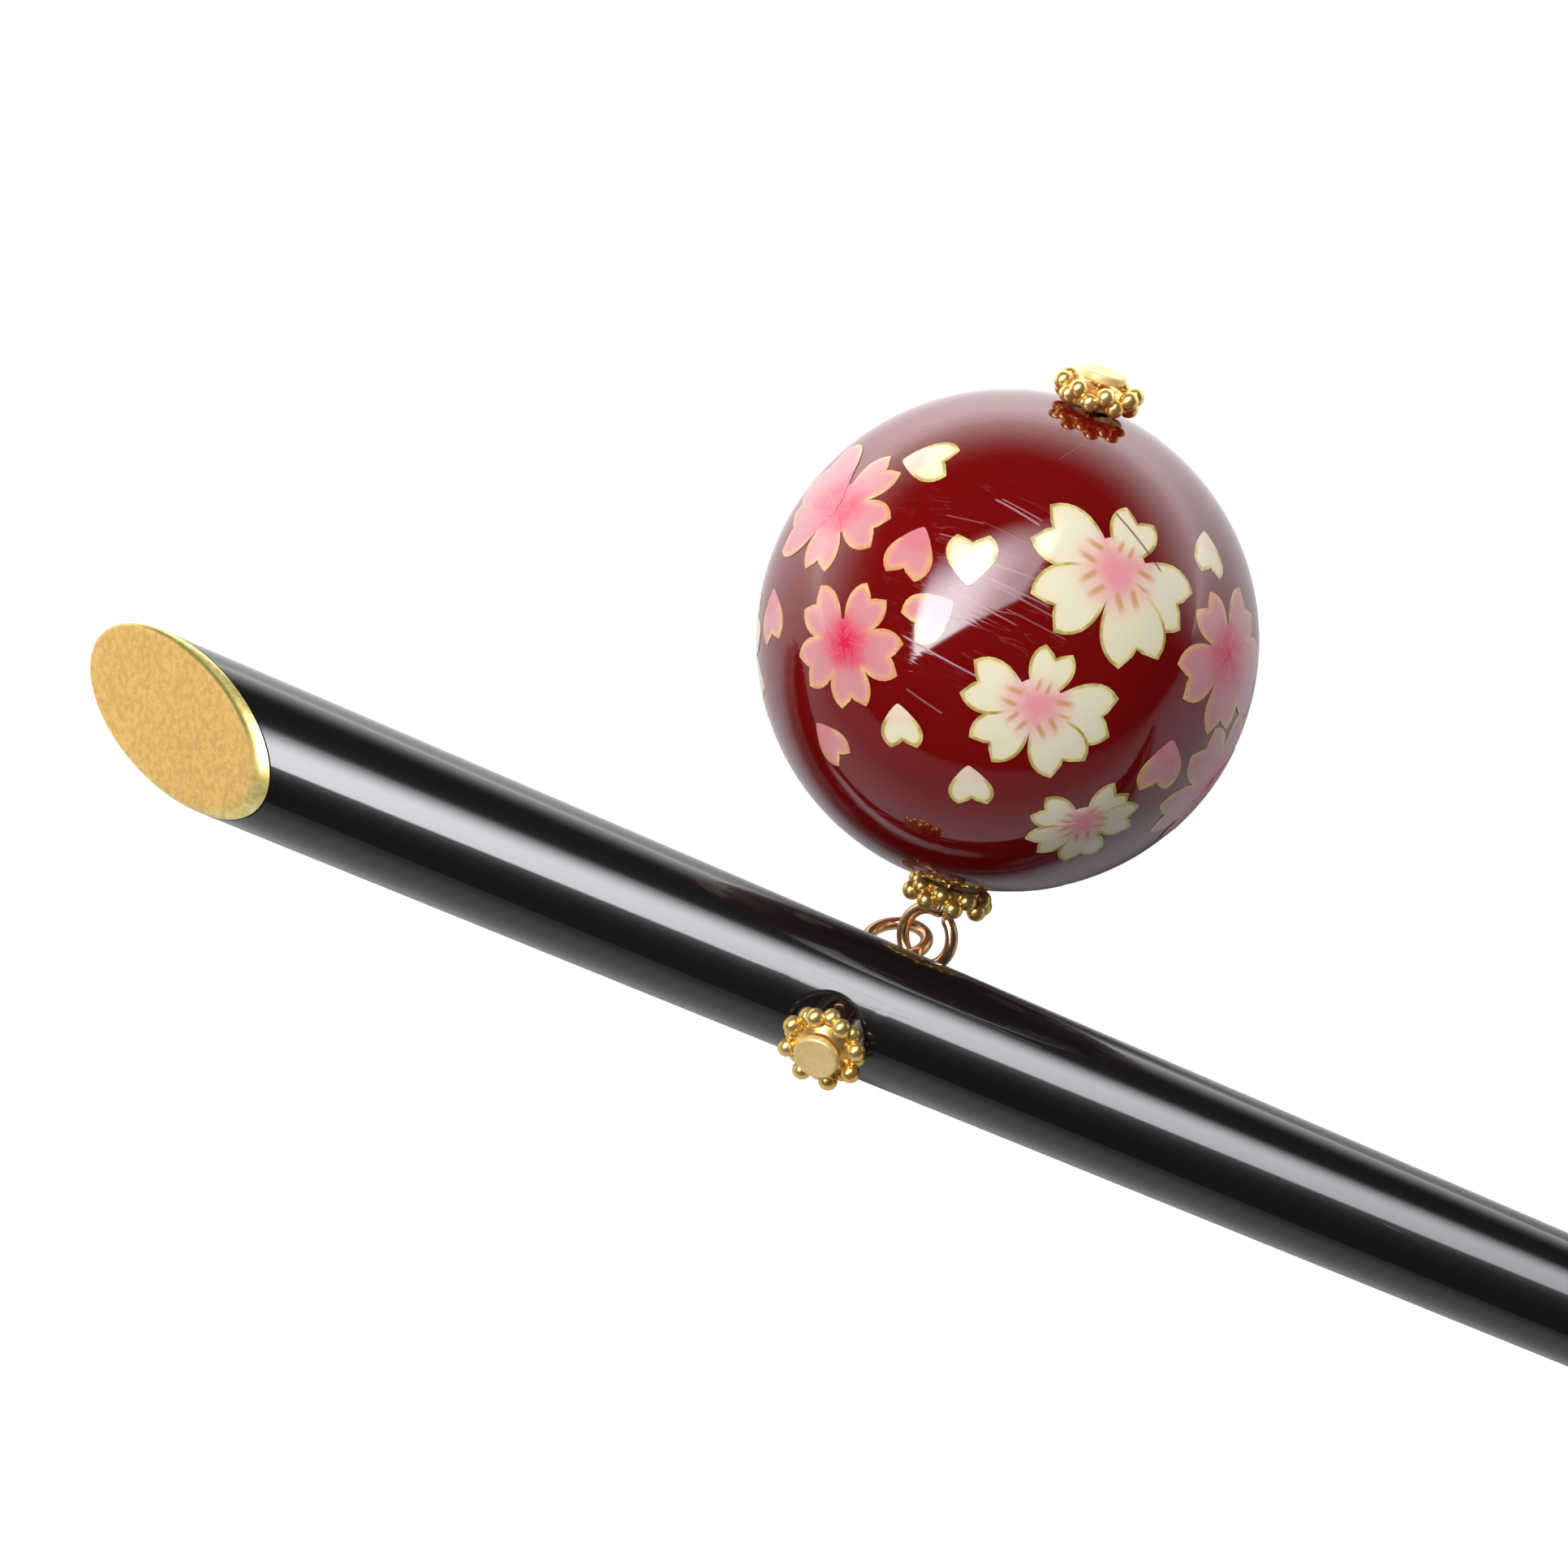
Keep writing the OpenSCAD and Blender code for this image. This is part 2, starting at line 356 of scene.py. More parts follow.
# Shared surface effects
def make_fine_scratches():
    """Long thin lines in patches, on coordinates that the material stretches."""
    t, i, o = new_group("fine scratches", {"Vector": "Vector", "Width": "Float", "Cover": "Float"},
                        {"Mask": "Float"})
    off = calc(t, "ABSOLUTE", calc(t, "SUBTRACT", noise(t, i["Vector"], 1.0, 1.0), 0.5))
    line = calc(t, "SUBTRACT", 1.0, calc(t, "MINIMUM", calc(t, "DIVIDE", off, i["Width"]), 1.0))
    patch = noise(t, vec(t, "ADD", i["Vector"], (3.1, 7.7, 1.9)), 0.6, 1.0)
    here = calc(t, "GREATER_THAN", patch, calc(t, "SUBTRACT", 1.0, i["Cover"]))
    put(t, o["Mask"], times(t, line, here))
    return t


def make_scratch_line():
    """One thin scratch that keeps to a plane, within some reach of its middle."""
    t, i, o = new_group("scratch line", {
        "Vector": "Vector", "Middle": "Vector", "Across": "Vector", "Reach": "Float", "Width": "Float"},
        {"Mask": "Float"})
    step = vec(t, "SUBTRACT", i["Vector"], i["Middle"])
    off = calc(t, "ABSOLUTE", vec(t, "DOT_PRODUCT", step, i["Across"], out=1))
    line = fall(t, off, times(t, i["Width"], 0.3), i["Width"])
    ends = fall(t, vec(t, "LENGTH", step, out=1), times(t, i["Reach"], 0.85), i["Reach"])
    put(t, o["Mask"], times(t, line, ends))
    return t


def make_metal_grain():
    """Fine grain of a beaten or sanded metal, as a height and a tone."""
    t, i, o = new_group("metal grain", {"Vector": "Vector", "Scale": "Float"},
                        {"Height": "Float", "Tone": "Float"})
    fine = noise(t, i["Vector"], i["Scale"], 3.0, 0.65)
    broad = noise(t, i["Vector"], times(t, i["Scale"], 0.13))
    put(t, o["Height"], scaled(t, fine, 0.7, times(t, broad, 0.3)))
    put(t, o["Tone"], scaled(t, fine, 0.45, times(t, broad, 0.55)))
    return t


fine_scratches, scratch_line, metal_grain = make_fine_scratches(), make_scratch_line(), make_metal_grain()


def new_material(name, **constants):
    """A material with these constants, as the material, its tree, its inputs and the object's coordinates."""
    m = bpy.data.materials.new(name)
    m.use_nodes = True
    t = m.node_tree
    t.nodes.clear()
    p = t.nodes.new("ShaderNodeBsdfPrincipled")
    out = t.nodes.new("ShaderNodeOutputMaterial")
    t.links.new(p.outputs[0], out.inputs[0])
    where = t.nodes.new("ShaderNodeTexCoord").outputs["Object"]
    for key, value in constants.items():
        p.inputs[key.replace("_", " ")].default_value = value
    return m, t, p.inputs, where


def stretched(tree, where, turn, scale):
    return add(tree, "ShaderNodeMapping", {"Vector": where, "Rotation": turn, "Scale": scale}).outputs[0]


# Scratches on the ball: start and end as offsets in the picture, width, and how much they show
SCRATCHES = [
    ((-0.8, 5.9), (1.2, 4.7), 0.07, 0.5),
    ((-0.5, 5.9), (1.3, 4.9), 0.05, 0.4),
    ((-4.8, 0.1), (-1.2, -1.9), 0.06, 0.55),
    ((-1.9, 3.4), (1.3, 2.3), 0.05, 0.3),
    ((-1.6, 2.7), (1.6, 1.2), 0.07, 0.3),
    ((-0.9, 2.2), (1.9, 0.7), 0.06, 0.28),
    ((-2.8, 2.1), (0.2, 0.4), 0.05, 0.26),
    ((-4.6, -2.2), (-3.0, -3.3), 0.06, 0.3),
    ((-3.2, 4.4), (-1.0, 3.8), 0.05, 0.3),
    ((-2.9, 5.2), (-1.2, 4.8), 0.04, 0.25),
    ((-0.4, 1.2), (2.3, -0.2), 0.05, 0.2),
    ((2.0, 7.6), (3.2, 8.4), 0.04, 0.12),
]
BLOSSOM_SCRATCH = (4.3, 5.4), (6.4, 2.7), 0.08
SCUFFED_AT, SCUFFED_CORE, SCUFFED_END = (-0.9, 2.6), 0.0025, 0.0058


def ball_place(right, up):
    """A place on the visible side of the ball, from its offsets from the ball's middle in the picture."""
    depth = sqrt(SCRATCH_R ** 2 - right ** 2 - up ** 2)
    return (BEAD_MIDDLE + right * CAM_RIGHT + up * CAM_UP + depth * CAM_BACK) * MM


def scratch_on_ball(tree, where, start, end, width):
    """A scratch between two such places, round the ball."""
    a, b, c = ball_place(*start), ball_place(*end), BEAD_MIDDLE * MM
    across = (a - c).cross(b - c).normalized()
    return use(tree, scratch_line, {"Vector": where, "Middle": (a + b) / 2, "Across": across,
                                    "Reach": (b - a).length / 2, "Width": width * MM})["Mask"]


def make_black_lacquer():
    """Glossy black with specks of dust, fine lines along the stick and a slight waviness."""
    m, t, p, where = new_material("black lacquer", IOR=1.33, Coat_Weight=1.0, Coat_IOR=1.53,
                                  Coat_Roughness=0.04)
    cells = add(t, "ShaderNodeTexVoronoi", {"Vector": where, "Scale": 150.0, "Randomness": 1.0})
    dust = fall(t, cells.outputs["Distance"], 0.008, 0.016)
    lines = use(t, fine_scratches, {"Vector": stretched(t, where, (0, 0, 0.05), (60, 1500, 1500)),
                                    "Width": 0.006, "Cover": 0.42})["Mask"]
    depth = mixed(t, noise(t, where, 90.0), (0.0045, 0.004, 0.0045, 1), (0.0085, 0.0075, 0.0075, 1))
    put(t, p["Base Color"], mixed(t, dust, depth, (0.30, 0.24, 0.26, 1)))
    worn = scaled(t, lines, 0.05, scaled(t, noise(t, where, 400.0), 0.04, 0.2))
    put(t, p["Roughness"], scaled(t, dust, 0.4, worn))
    wave = bump(t, noise(t, stretched(t, where, (0, 0, 0), (0.35, 1, 1)), 300.0, 1.0), 0.000008)
    relief = bump(t, calc(t, "SUBTRACT", dust, times(t, lines, 0.2)), 0.00001, 0.5, Normal=wave)
    put(t, p["Normal"], relief)
    put(t, p["Coat Normal"], relief)
    return m


def make_red_lacquer():
    """Deep red gloss with single scratches, and fine ones where the softbox shows."""
    m, t, p, where = new_material("red lacquer", Roughness=0.06, IOR=1.61)
    depth = mixed(t, noise(t, where, 220.0, 3.0), (0.135, 0.0020, 0.0022, 1), (0.175, 0.0029, 0.0030, 1))
    away = vec(t, "DISTANCE", where, ball_place(*SCUFFED_AT), out=1)
    lines = use(t, fine_scratches, {"Vector": stretched(t, where, (0.2, 0.5, 0.62), (90, 3000, 2000)),
                                    "Width": 0.035, "Cover": 0.5})["Mask"]
    near = fall(t, away, SCUFFED_CORE, SCUFFED_END)
    scuffs = times(t, lines, scaled(t, near, 0.06, 0.005))
    for *ends_and_width, much in SCRATCHES:
        mark = times(t, scratch_on_ball(t, where, *ends_and_width), much)
        scuffs = calc(t, "MAXIMUM", scuffs, mark)
    put(t, p["Base Color"], mixed(t, scuffs, depth, (0.50, 0.33, 0.36, 1)))
    put(t, p["Roughness"], scaled(t, scuffs, 0.5, 0.05))
    wave = bump(t, noise(t, where, 260.0, 1.0), 0.000007)
    put(t, p["Normal"], bump(t, lines, 0.000002, 0.6, Normal=wave))
    return m


def make_blossom_print():
    """Printed petals under the same lacquer: gold outline, tone by attribute, deeper towards the root."""
    m, t, p, where = new_material("blossom print", Roughness=0.06, IOR=1.61)
    place, tone, single = attribute(t, "place", "Vector"), attribute(t, "tone"), attribute(t, "single")
    parts = separated(t, place)
    up = calc(t, "MAXIMUM", parts[1], times(t, single, 0.42))
    uneven = scaled(t, noise(t, where, 900.0), 0.3, calc(t, "SUBTRACT", up, 0.15))

    cream = mixed(t, fall(t, uneven, 0.05, 0.56), (0.79, 0.715, 0.52, 1), (0.78, 0.30, 0.33, 1))
    beside = calc(t, "ABSOLUTE", calc(t, "SUBTRACT", calc(t, "ABSOLUTE", parts[0]), 0.085))
    halfway = times(t, ramp(t, up, 0.18, 0.28), fall(t, up, 0.34, 0.50))
    stroke = times(t, fall(t, beside, 0.01, 0.055), halfway)
    in_blossom = calc(t, "SUBTRACT", 0.75, times(t, single, 0.75))
    cream = mixed(t, times(t, stroke, in_blossom), cream, (0.60, 0.27, 0.07, 1))

    pink = mixed(t, ramp(t, uneven, 0.02, 0.62), (0.66, 0.020, 0.075, 1), (0.60, 0.255, 0.26, 1))
    along_petal = stretched(t, place, (0, 0, 0), (26, 2.2, 0))
    vein = ramp(t, noise(t, along_petal, 1.0, 1.0), 0.52, 0.62)
    pink = mixed(t, times(t, vein, 0.25), pink, (0.70, 0.22, 0.26, 1))
    petal = mixed(t, tone, cream, pink)

    from_edge = times(t, parts[2], attribute(t, "reach"))
    glow = times(t, ramp(t, from_edge, 0.0001, 0.00042, 0.45, 0.0), ramp(t, parts[1], 0.3, 0.6))
    petal = mixed(t, glow, petal, mixed(t, tone, (0.80, 0.66, 0.24, 1), (0.86, 0.42, 0.22, 1)))
    rim = times(t, fall(t, from_edge, 0.00009, 0.00018), ramp(t, parts[1], 0.3, 0.46))
    patchy = ramp(t, noise(t, where, 1100.0), 0.35, 0.65)
    gold = mixed(t, patchy, (0.40, 0.29, 0.07, 1), (0.68, 0.58, 0.24, 1))
    rosy = mixed(t, patchy, (0.62, 0.28, 0.12, 1), (0.70, 0.46, 0.20, 1))
    petal = mixed(t, rim, petal, mixed(t, tone, gold, rosy))

    scar = scratch_on_ball(t, where, *BLOSSOM_SCRATCH)
    put(t, p["Base Color"], mixed(t, times(t, scar, 0.8), petal, (0.12, 0.045, 0.04, 1)))
    put(t, p["Roughness"], scaled(t, noise(t, where, 1200.0), 0.03, 0.045))
    put(t, p["Normal"], bump(t, noise(t, where, 260.0, 1.0), 0.000007))
    return m


def make_gold_leaf():
    """Sanded gold on the cut, with a bright polished rim that carries a darker line."""
    m, t, p, where = new_material("gold leaf", Metallic=0.6)
    rim, line = attribute(t, "rim"), attribute(t, "line")
    grain = use(t, metal_grain, {"Vector": where, "Scale": 4200.0})
    fine = noise(t, where, 3200.0, 2.0, 0.6)
    mottle = ramp(t, scaled(t, fine, 0.8, times(t, grain["Tone"], 0.2)), 0.36, 0.64)
    face = mixed(t, mottle, (0.74, 0.455, 0.125, 1), (0.88, 0.58, 0.18, 1))
    band = mixed(t, mottle, (0.78, 0.60, 0.17, 1), (0.93, 0.82, 0.34, 1))
    broken = ramp(t, noise(t, where, 700.0), 0.2, 0.45, 0.35, 0.9)
    gold = mixed(t, rim, face, band)
    put(t, p["Base Color"], mixed(t, times(t, line, broken), gold, (0.16, 0.14, 0.02, 1)))
    put(t, p["Roughness"], ramp(t, rim, 0.0, 1.0, 0.55, 0.3))
    put(t, p["Normal"], bump(t, grain["Height"], 0.00003, ramp(t, rim, 0.0, 1.0, 0.55, 0.25)))
    return m


def make_gilt_metal():
    """Bright gilding of the flower spacers."""
    m, t, p, where = new_material("gilt metal", Metallic=0.85)
    grain = use(t, metal_grain, {"Vector": where, "Scale": 2600.0})
    tone = ramp(t, grain["Tone"], 0.35, 0.65)
    put(t, p["Base Color"], mixed(t, tone, (0.90, 0.55, 0.12, 1), (1.0, 0.74, 0.28, 1)))
    put(t, p["Roughness"], scaled(t, grain["Tone"], 0.16, 0.20))
    put(t, p["Normal"], bump(t, grain["Height"], 0.00003, 0.35))
    return m


def make_pin_metal():
    """Satin pale gold on the flat heads, rosier and brighter along the drawn wire."""
    m, t, p, where = new_material("pin metal")
    wire = attribute(t, "wire")
    grain = use(t, metal_grain, {"Vector": where, "Scale": 3800.0})
    tone = ramp(t, grain["Tone"], 0.35, 0.65)
    head = mixed(t, tone, (0.88, 0.64, 0.25, 1), (1.0, 0.77, 0.35, 1))
    drawn = mixed(t, tone, (0.80, 0.46, 0.24, 1), (0.93, 0.62, 0.38, 1))
    satin = scaled(t, grain["Tone"], 0.15, 0.36)
    put(t, p["Base Color"], mixed(t, wire, head, drawn))
    put(t, p["Metallic"], scaled(t, wire, 0.45, 0.5))
    put(t, p["Roughness"], scaled(t, wire, -0.22, satin))
    put(t, p["Normal"], bump(t, grain["Height"], 0.00003, 0.3))
    return m


black_lacquer, red_lacquer, blossom_print = make_black_lacquer(), make_red_lacquer(), make_blossom_print()
gold_leaf, gilt_metal, pin_metal = make_gold_leaf(), make_gilt_metal(), make_pin_metal()


# Hair stick: rings of points from the cut to the tip, with a refitted patch on both sides of the cross hole
COLUMNS, HALF_PATCH, PATCH_ROWS, PATCH_REACH = 192, 27, 54, 2.4
EVEN_FROM = 12.6


def taper(x):
    return HEAD_R - SLOPE * x


def cut_at(turn, depth):
    """Distance from the head end at which a line along the stick meets the cut, at some depth behind it."""
    c = cos(SLANT_ANGLE) * cos(turn - SLANT_ROLL)
    s = sin(SLANT_ANGLE)
    return (s * FACE_AT + depth - HEAD_R * c) / (s - SLOPE * c)


def on_stick(x, turn, r=None):
    r = taper(x) if r is None else r
    return Vector((x, r * cos(turn), -r * sin(turn)))


def spread(start, end, steps):
    """Even steps from a start to an end, without the start."""
    return [start + (end - start) * k / steps for k in range(1, steps + 1)]


def stick_rings():
    """Rings of points from the cut to the tip, and the number of the patches' first ring."""
    turns = [HOLE_ROLL + 2 * pi * i / COLUMNS for i in range(COLUMNS)]
    cut = [cut_at(a, GOLD_T + UNDER_GOLD) for a in turns]
    rings = [[on_stick(x + EDGE_IN, a, taper(x) - EDGE_IN) for x, a in zip(cut, turns)]]
    for share in (0.0, 0.02, 0.06, 0.15, 0.3, 0.5, 0.75, 1.0):
        rings.append([on_stick((x + EDGE_BACK) * (1 - share) + EVEN_FROM * share, a)
                      for x, a in zip(cut, turns)])
    patch_start, patch_end, taper_end = HOLE_AT - PATCH_REACH, HOLE_AT + PATCH_REACH, STICK_LEN - TIP_R
    before = spread(EVEN_FROM, patch_start, 13)
    first = len(rings) + len(before) - 1
    for x in before + spread(patch_start, patch_end, PATCH_ROWS) + spread(patch_end, taper_end, 40):
        rings.append([on_stick(x, a) for a in turns])
    for t in spread(0, pi / 2, 16)[:-1]:
        rings.append([on_stick(taper_end + TIP_R * sin(t), a, TIP_R * cos(t)) for a in turns])
    return rings, first


def at_hole(along, beside, side, sink=0.0):
    """A place on one side of the stick, or sunk in it, by its offsets from the cross hole's axis."""
    out = Vector((0, cos(HOLE_ROLL), -sin(HOLE_ROLL)))
    beside_way = Vector((0, -sin(HOLE_ROLL), -cos(HOLE_ROLL)))
    x = HOLE_AT + along
    height = sqrt(taper(x) ** 2 - beside ** 2) - sink
    return Vector((x, 0, 0)) + beside_way * beside + out * side * height


def hole_loops(patch_edge, side):
    """Loops of points from a patch's edge to the cross hole, and over its rounded rim into it."""
    turns = [atan2(beside, along) for along, beside in patch_edge]
    rim = HOLE_R + HOLE_RIM
    loops = []
    for share in (0.2, 0.4, 0.6, 0.8, 0.93, 1.0):
        loops.append([at_hole(along * (1 - share) + rim * cos(a) * share,
                              beside * (1 - share) + rim * sin(a) * share, side)
                      for (along, beside), a in zip(patch_edge, turns)])
    for t in spread(0, 1, 7):
        loops.append([bend(at_hole(rim * cos(a), rim * sin(a), side),
                           at_hole(HOLE_R * cos(a), HOLE_R * sin(a), side),
                           at_hole(HOLE_R * cos(a), HOLE_R * sin(a), side, HOLE_RIM_DEPTH), t)
                      for a in turns])
    return loops


def build_stick():
    points, first = stick_rings()
    verts = [p for ring in points for p in ring]
    rings = ring_numbers(len(points), COLUMNS)
    half_turn = COLUMNS // 2
    in_patches = {(first + k, column % COLUMNS) for k in range(PATCH_ROWS)
                  for j in range(-HALF_PATCH, HALF_PATCH) for column in (j, half_turn - j - 1)}
    faces = [face for number, face in enumerate(ring_faces(rings, COLUMNS))
             if divmod(number, COLUMNS) not in in_patches]
    edge = ([(0, j) for j in range(-HALF_PATCH, HALF_PATCH)]
            + [(k, HALF_PATCH) for k in range(PATCH_ROWS)]
            + [(PATCH_ROWS, j) for j in range(HALF_PATCH, -HALF_PATCH, -1)]
            + [(k, -HALF_PATCH) for k in range(PATCH_ROWS, 0, -1)])
    patch_edge = []
    for k, j in edge:
        along = -PATCH_REACH + 2 * PATCH_REACH * k / PATCH_ROWS
        patch_edge.append((along, taper(HOLE_AT + along) * sin(2 * pi * j / COLUMNS)))
    mouths = []
    for side in (1, -1):
        loops = [[rings[first + k][(j if side > 0 else half_turn - j) % COLUMNS] for k, j in edge]]
        for loop in hole_loops(patch_edge, side):
            loops += ring_numbers(1, len(edge), len(verts))
            verts += loop
        faces += ring_faces(loops, len(edge))
        mouths.append(loops[-1])
    faces += ring_faces(mouths, len(edge))
    cut_middle = FACE_AT + (GOLD_T + EDGE_BACK) / sin(SLANT_ANGLE)
    verts += [Vector((cut_middle, 0, 0)), Vector((STICK_LEN, 0, 0))]
    faces += fan(len(verts) - 2, rings[0], True) + fan(len(verts) - 1, rings[-1])
    ob = new_piece("lacquered_stick", verts, faces, black_lacquer, STICK_FRAME)
    finish_piece(ob, "stick", 50)


# Gilded cut, with a rounded rim that shows a thin darker line on its upper side
DARK_LINE = {2: 0.6, 3: 1.0, 4: 0.5}


def build_gold_face():
    count, rim_steps = 160, 8
    turns = [SLANT_ROLL + 2 * pi * i / count for i in range(count)]
    upper = [(cos(a - SLANT_ROLL + radians(100)) - 0.55) * 4 for a in turns]
    middle = Vector((FACE_AT, 0, 0))
    edge = [on_stick(cut_at(a, 0.0), a) for a in turns]
    inner = [middle + (p - middle) * (1 - GOLD_RIM / (p - middle).length) for p in edge]
    low = [on_stick(cut_at(a, GOLD_T), a) for a in turns]
    near_low = [p + (q - p) * 0.85 for p, q in zip(edge, low)]
    verts, rims, lines = [], [], []

    def ring(points, rim, line=0.0):
        verts.extend(points)
        rims.extend([rim] * count)
        lines.extend([line * max(0.0, min(1.0, share)) for share in upper])

    for share in (0.12, 0.25, 0.4, 0.55, 0.7, 0.82, 0.91, 0.965):
        ring([middle + (p - middle) * share for p in inner], 0.0)
    for k in range(rim_steps + 1):
        t = k / rim_steps
        ring([bend(a, b, c, t) for a, b, c in zip(inner, edge, near_low)], min(1.0, t * 1.6),
             DARK_LINE.get(k, 0.0))
    ring(low, 1.0)
    rings = ring_numbers(len(verts) // count, count)
    verts += [middle, sum(low, Vector()) / count]
    rims += [0.0, 1.0]
    lines += [0.0, 0.0]
    faces = ring_faces(rings, count) + fan(len(verts) - 2, rings[0]) + fan(len(verts) - 1, rings[-1], True)
    ob = new_piece("gilded_cut", verts, faces, gold_leaf, STICK_FRAME, rim=rims, line=lines)
    finish_piece(ob, "gold_end_face", 50)


# Ball, drilled off its middle: rings from one end of the bore round the ball to the other, and back inside
def build_ball():
    count, steps = 168, 60
    bore_edge = asin(BEAD_HOLE_R / BALL_R)

    def ring_points(t, up):
        s = sin(t)
        shift = BEAD_HOLE_SHIFT * (1 - (s - sin(bore_edge)) / (1 - sin(bore_edge)))
        points = [Vector((shift + x, y, 0)) for x, y, _ in circle(BALL_R * s, 0, count)]
        for p in points:
            p.z = up * sqrt(max(BALL_R ** 2 - p.x * p.x - p.y * p.y, 0.0))
        return points

    turns = [bore_edge + (pi / 2 - bore_edge) * k / steps for k in range(steps + 1)]
    loops = [ring_points(t, 1) for t in turns] + [ring_points(t, -1) for t in reversed(turns[:-1])]
    bore = [[Vector((p.x, p.y, p.z * share)) for p in loops[-1]]
            for share in (0.97, 0.6, 0.2, -0.2, -0.6, -0.97)]
    verts = [p for loop in loops + bore for p in loop]
    rings = ring_numbers(len(loops + bore), count)
    place = DROP_FRAME @ Matrix.Translation((-BEAD_HOLE_SHIFT, 0, 0))
    ob = new_piece("lacquered_ball", verts, ring_faces(rings + rings[:1], count), red_lacquer, place)
    finish_piece(ob, "bead", 60)


# Blossom print: tone, place on the ball (turn and rise in degrees), then bearing and length of each petal
BLOSSOMS = [
    ("cream", 0.2, 63.5, [(87, 3.9), (1, 3.0), (278, 3.9), (226, 4.2), (151, 4.0)]),
    ("cream", -58.2, 45.7, [(61, 2.6), (342, 3.6), (291, 3.4), (216, 3.1), (152, 3.2)]),
    ("pink", -170.6, 46.0, [(133, 3.1), (60, 3.1), (342, 2.9), (268, 4.1), (219, 4.8)]),
    ("pink", -124.9, 40.9, [(104, 2.7), (34, 2.9), (323, 2.8), (254, 2.9), (186, 2.9)]),
    ("pink", 4.9, 25.9, [(70, 2.8), (349, 3.3), (147, 3.3), (222, 3.5), (285, 4.4)]),
    ("cream", -48.7, 12.2, [(142, 2.4), (34, 2.3), (341, 2.6), (267, 2.7), (203, 2.5)]),
    ("pink", -13.0, -3.6, [(20 + 72 * k, 3.5) for k in range(5)]),
    ("cream", -156.0, -7.0, [(20 + 72 * k, 3.5) for k in range(5)]),
]

# Single petals: tone, turn, rise, bearing and length
SINGLES = [
    ("cream", 167.0, 56.8, 107, 2.6), ("pink", -152.4, 70.2, 326, 2.5), ("cream", -95.9, 69.8, 114, 2.4),
    ("pink", -98.4, 66.0, 236, 2.4), ("cream", 35.3, 39.6, 181, 2.2), ("cream", -100.7, 39.3, 301, 2.1),
    ("cream", -76.9, 30.9, 281, 2.1), ("pink", -119.4, 19.4, 348, 2.1), ("pink", -21.7, 23.8, 230, 2.6),
    ("pink", -157.4, 21.9, 345, 2.5),
]

# Right half of a petal one unit long, from its root to the notch at its end, and a blossom's round middle
HALF_PETAL = [
    (0.02, 0.05), (0.09, 0.12), (0.165, 0.21), (0.24, 0.32), (0.305, 0.42), (0.352, 0.52), (0.379, 0.62),
    (0.385, 0.72), (0.366, 0.82), (0.322, 0.91), (0.245, 1.0), (0.18, 0.966), (0.12, 0.93), (0.056, 0.895),
    (0.0, 0.835),
]
HEART_R = 0.36

# Room that is kept on the ball for each, and for the hidden ones their room, their greatest number and
# how far round towards the camera they may come
BLOSSOM_ROOM, SINGLE_ROOM, SPACER_ROOM, ROOM_SHARE = 3.9, 1.7, 2.6, 0.97
HIDDEN_BLOSSOMS, HIDDEN_SINGLES, TRIES = (3.6, 9, -0.25), (1.5, 16, -0.1), 1500


def outward(turn, rise):
    a, e = radians(turn), radians(rise)
    return Vector((cos(a) * cos(e), sin(a) * cos(e), sin(e)))


def hidden_print(rng):
    """The same print carried on round the side that the photo hides, clear of what is charted."""
    taken = [(outward(turn, rise), BLOSSOM_ROOM) for _, turn, rise, _ in BLOSSOMS]
    taken += [(outward(turn, rise), SINGLE_ROOM) for _, turn, rise, _, _ in SINGLES]
    taken += [(DROP_FRAME.to_3x3() @ Vector((0, 0, side)), SPACER_ROOM) for side in (1, -1)]
    blossoms, singles = [], []
    for found, (room, wanted, nearest) in ((blossoms, HIDDEN_BLOSSOMS), (singles, HIDDEN_SINGLES)):
        for _ in range(TRIES):
            d = Vector((rng.gauss(0, 1), rng.gauss(0, 1), rng.gauss(0, 1))).normalized()
            clear = all(BEAD_R * d.angle(q) > (room + r) * ROOM_SHARE for q, r in taken)
            if len(found) == wanted or d.dot(CAM_BACK) > nearest or not clear:
                continue
            taken.append((d, room))
            turn, rise = degrees(atan2(d.y, d.x)), degrees(asin(d.z))
            tone = ("cream", "pink")[(len(found) + 1) % 2]
            start = rng.uniform(0, 360)
            if found is blossoms:
                petals = [(start + 72 * k + rng.uniform(-5, 5), rng.uniform(2.9, 3.5)) for k in range(5)]
                found.append((tone, turn, rise, petals))
            else:
                found.append((tone, turn, rise, start, rng.uniform(2.1, 2.5)))
    return blossoms, singles


def edge_gap(p, outline):
    """How far a place is from the nearest side of an outline."""
    gaps = []
    for a, b in zip(outline, outline[1:] + outline[:1]):
        way = b - a
        t = max(0.0, min(1.0, (p - a).dot(way) / way.length_squared))
        gaps.append((p - a - way * t).length)
    return min(gaps)


def patch_mesh(name, outline, middle, lift, rounded=False):
    """A closed patch within an outline, its top raised a little over an underside."""
    count = len(outline)
    shares = (1.0, 0.95, 0.88, 0.76, 0.6, 0.42, 0.22)
    top = count * len(shares)
    verts = [middle + (p - middle) * share for share in shares for p in outline] + [middle] + outline
    rise = [lift * MM] * (top + 1) + [-PRINT_DEPTH * MM] * count
    rings = ring_numbers(len(shares), count)
    under = ring_numbers(1, count, top + 1)[0]
    faces = [tuple(reversed(f)) for f in ring_faces(rings, count)]
    faces += fan(top, rings[-1]) + ring_faces([under, rings[0]], count) + [tuple(reversed(under))]
    if rounded:
        place = [(0.0, p.length, 1.0) for p in verts]
    else:
        place = [(p.x, p.y, edge_gap(p, outline)) for p in verts]
    return new_object(name, new_mesh(name, verts, faces, {"place": place}, {"rise": rise}))


